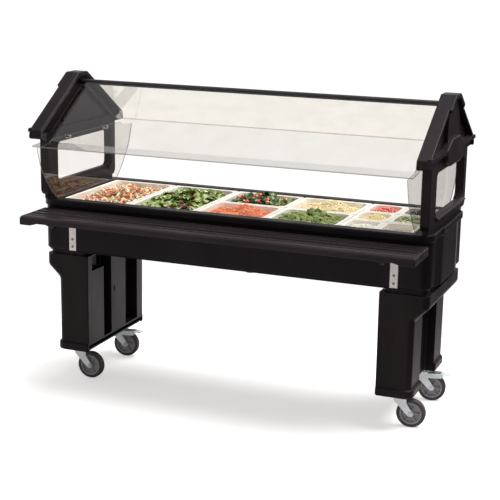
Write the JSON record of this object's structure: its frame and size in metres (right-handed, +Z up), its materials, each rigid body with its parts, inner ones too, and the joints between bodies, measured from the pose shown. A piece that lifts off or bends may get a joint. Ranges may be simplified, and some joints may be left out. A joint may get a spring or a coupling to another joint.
{
  "type": "mobile food bar",
  "caption": "Mobile cold food bar: insulated black tub with food pans, house-shaped end panels, clear food shield, fold-down tray rail and pedestal legs on swivel casters.",
  "frame": {"origin": "on the floor, under the middle of the whole unit's bounding box", "axes": "+X along the bar to the customer's right, +Y from the customer side to the server side, +Z up"},
  "size_m": [1.85, 0.9727, 1.425],
  "materials": {
    "black_polyethylene": "rotationally moulded, satin with a fine grain",
    "insulating_foam": "closed-cell polyurethane foam",
    "stainless_steel": "brushed",
    "zinc_plated_steel": "bright zinc plated",
    "black_oxide_steel": "black, satin",
    "clear_acrylic": "polished clear sheet",
    "white_pan_plastic": "smooth white",
    "brass": "cast and machined",
    "valve_lever_steel": "dipped vinyl grip",
    "grey_wheel_plastic": "moulded nylon",
    "dark_grey_rubber": "soft rubber tread"
  },
  "bodies": {
    "cart": {"body_shell": "black_polyethylene", "left_leg": "black_polyethylene", "right_leg": "black_polyethylene", "left_house_panel": "black_polyethylene", "right_house_panel": "black_polyethylene", "foam_port_plugs": "black_polyethylene", "foam_core": "insulating_foam", "pan_divider_bars": "stainless_steel", "rail_wall_plates": "stainless_steel", "rail_plate_screws": "stainless_steel", "rail_hinge_pins": "stainless_steel", "end_shield_screws": "stainless_steel", "end_shield_spacers": "stainless_steel", "leg_bolts": "zinc_plated_steel", "caster_top_plates": "zinc_plated_steel", "caster_bolts": "zinc_plated_steel", "end_panel_bolts": "black_oxide_steel", "ridge_bar": "black_oxide_steel", "leg_base_plates": "black_oxide_steel", "front_guard": "clear_acrylic", "rear_guard": "clear_acrylic", "left_end_shield": "clear_acrylic", "right_end_shield": "clear_acrylic", "drain_fitting": "brass", "drain_locknut": "brass", "drain_valve_body": "brass"},
    "rail": {"tray_rail": "black_polyethylene", "rail_arms": "stainless_steel"},
    "drain_handle": {"drain_valve_ball": "brass", "drain_valve_lever": "valve_lever_steel"},
    "full_pan_1_body": {"full_pan_1": "white_pan_plastic"},
    "full_pan_2_body": {"full_pan_2": "white_pan_plastic"},
    "half_pan_3_front_body": {"half_pan_3_front": "white_pan_plastic"},
    "half_pan_3_rear_body": {"half_pan_3_rear": "white_pan_plastic"},
    "half_pan_4_front_body": {"half_pan_4_front": "white_pan_plastic"},
    "half_pan_4_rear_body": {"half_pan_4_rear": "white_pan_plastic"},
    "sixth_pan_front_left_body": {"sixth_pan_front_left": "white_pan_plastic"},
    "sixth_pan_middle_left_body": {"sixth_pan_middle_left": "white_pan_plastic"},
    "sixth_pan_rear_left_body": {"sixth_pan_rear_left": "white_pan_plastic"},
    "sixth_pan_front_right_body": {"sixth_pan_front_right": "white_pan_plastic"},
    "sixth_pan_middle_right_body": {"sixth_pan_middle_right": "white_pan_plastic"},
    "sixth_pan_rear_right_body": {"sixth_pan_rear_right": "white_pan_plastic"},
    "swivel_front_left": {"caster_fork_front_left": "zinc_plated_steel", "caster_axle_front_left": "zinc_plated_steel"},
    "wheel_front_left": {"caster_hub_front_left": "grey_wheel_plastic", "caster_tyre_front_left": "dark_grey_rubber"},
    "swivel_front_right": {"caster_fork_front_right": "zinc_plated_steel", "caster_axle_front_right": "zinc_plated_steel"},
    "wheel_front_right": {"caster_hub_front_right": "grey_wheel_plastic", "caster_tyre_front_right": "dark_grey_rubber"},
    "swivel_rear_left": {"caster_fork_rear_left": "zinc_plated_steel", "caster_axle_rear_left": "zinc_plated_steel"},
    "wheel_rear_left": {"caster_hub_rear_left": "grey_wheel_plastic", "caster_tyre_rear_left": "dark_grey_rubber"},
    "pedal_rear_left": {"brake_pedal_rear_left": "zinc_plated_steel"},
    "swivel_rear_right": {"caster_fork_rear_right": "zinc_plated_steel", "caster_axle_rear_right": "zinc_plated_steel"},
    "wheel_rear_right": {"caster_hub_rear_right": "grey_wheel_plastic", "caster_tyre_rear_right": "dark_grey_rubber"},
    "pedal_rear_right": {"brake_pedal_rear_right": "zinc_plated_steel"}
  },
  "joints": [
    {"name": "rail_fold", "type": "hinge", "parent": "cart", "child": "rail", "pos_m": [0, -0.2805, 0.778], "axis": [1, 0, 0], "range_deg": [0, 90]},
    {"name": "drain_valve_turn", "type": "hinge", "parent": "cart", "child": "drain_handle", "pos_m": [0, 0.0315, 0.596], "axis": [0, 1, 0], "range_deg": [0, 90]},
    {"name": "full_pan_1_lift", "type": "slide", "parent": "cart", "child": "full_pan_1_body", "axis": [0, 0, 1], "range_m": [0, 0.16]},
    {"name": "full_pan_2_lift", "type": "slide", "parent": "cart", "child": "full_pan_2_body", "axis": [0, 0, 1], "range_m": [0, 0.16]},
    {"name": "half_pan_3_front_lift", "type": "slide", "parent": "cart", "child": "half_pan_3_front_body", "axis": [0, 0, 1], "range_m": [0, 0.16]},
    {"name": "half_pan_3_rear_lift", "type": "slide", "parent": "cart", "child": "half_pan_3_rear_body", "axis": [0, 0, 1], "range_m": [0, 0.16]},
    {"name": "half_pan_4_front_lift", "type": "slide", "parent": "cart", "child": "half_pan_4_front_body", "axis": [0, 0, 1], "range_m": [0, 0.16]},
    {"name": "half_pan_4_rear_lift", "type": "slide", "parent": "cart", "child": "half_pan_4_rear_body", "axis": [0, 0, 1], "range_m": [0, 0.16]},
    {"name": "sixth_pan_front_left_lift", "type": "slide", "parent": "cart", "child": "sixth_pan_front_left_body", "axis": [0, 0, 1], "range_m": [0, 0.16]},
    {"name": "sixth_pan_middle_left_lift", "type": "slide", "parent": "cart", "child": "sixth_pan_middle_left_body", "axis": [0, 0, 1], "range_m": [0, 0.16]},
    {"name": "sixth_pan_rear_left_lift", "type": "slide", "parent": "cart", "child": "sixth_pan_rear_left_body", "axis": [0, 0, 1], "range_m": [0, 0.16]},
    {"name": "sixth_pan_front_right_lift", "type": "slide", "parent": "cart", "child": "sixth_pan_front_right_body", "axis": [0, 0, 1], "range_m": [0, 0.16]},
    {"name": "sixth_pan_middle_right_lift", "type": "slide", "parent": "cart", "child": "sixth_pan_middle_right_body", "axis": [0, 0, 1], "range_m": [0, 0.16]},
    {"name": "sixth_pan_rear_right_lift", "type": "slide", "parent": "cart", "child": "sixth_pan_rear_right_body", "axis": [0, 0, 1], "range_m": [0, 0.16]},
    {"name": "swivel_turn_front_left", "type": "hinge", "parent": "cart", "child": "swivel_front_left", "pos_m": [-0.78, -0.1495, 0.137], "axis": [0, 0, 1], "continuous": true},
    {"name": "wheel_spin_front_left", "type": "hinge", "parent": "swivel_front_left", "child": "wheel_front_left", "pos_m": [-0.73203, -0.14782, 0.0635], "axis": [-0.0349, 0.9994, 0], "continuous": true},
    {"name": "swivel_turn_front_right", "type": "hinge", "parent": "cart", "child": "swivel_front_right", "pos_m": [0.78, -0.1495, 0.137], "axis": [0, 0, 1], "continuous": true},
    {"name": "wheel_spin_front_right", "type": "hinge", "parent": "swivel_front_right", "child": "wheel_front_right", "pos_m": [0.82782, -0.14532, 0.0635], "axis": [-0.0872, 0.9962, 0], "continuous": true},
    {"name": "swivel_turn_rear_left", "type": "hinge", "parent": "cart", "child": "swivel_rear_left", "pos_m": [-0.78, 0.2125, 0.137], "axis": [0, 0, 1], "continuous": true},
    {"name": "wheel_spin_rear_left", "type": "hinge", "parent": "swivel_rear_left", "child": "wheel_rear_left", "pos_m": [-0.73226, 0.21752, 0.0635], "axis": [-0.1045, 0.9945, 0], "continuous": true},
    {"name": "brake_press_rear_left", "type": "hinge", "parent": "swivel_rear_left", "child": "pedal_rear_left", "pos_m": [-0.6885, 0.22212, 0.124], "axis": [-0.1045, 0.9945, 0], "range_deg": [0, 18]},
    {"name": "swivel_turn_rear_right", "type": "hinge", "parent": "cart", "child": "swivel_rear_right", "pos_m": [0.78, 0.2125, 0.137], "axis": [0, 0, 1], "continuous": true},
    {"name": "wheel_spin_rear_right", "type": "hinge", "parent": "swivel_rear_right", "child": "wheel_rear_right", "pos_m": [0.82741, 0.22001, 0.0635], "axis": [-0.1564, 0.9877, 0], "continuous": true},
    {"name": "brake_press_rear_right", "type": "hinge", "parent": "swivel_rear_right", "child": "pedal_rear_right", "pos_m": [0.87087, 0.22689, 0.124], "axis": [-0.1564, 0.9877, 0], "range_deg": [0, 18]}
  ]
}
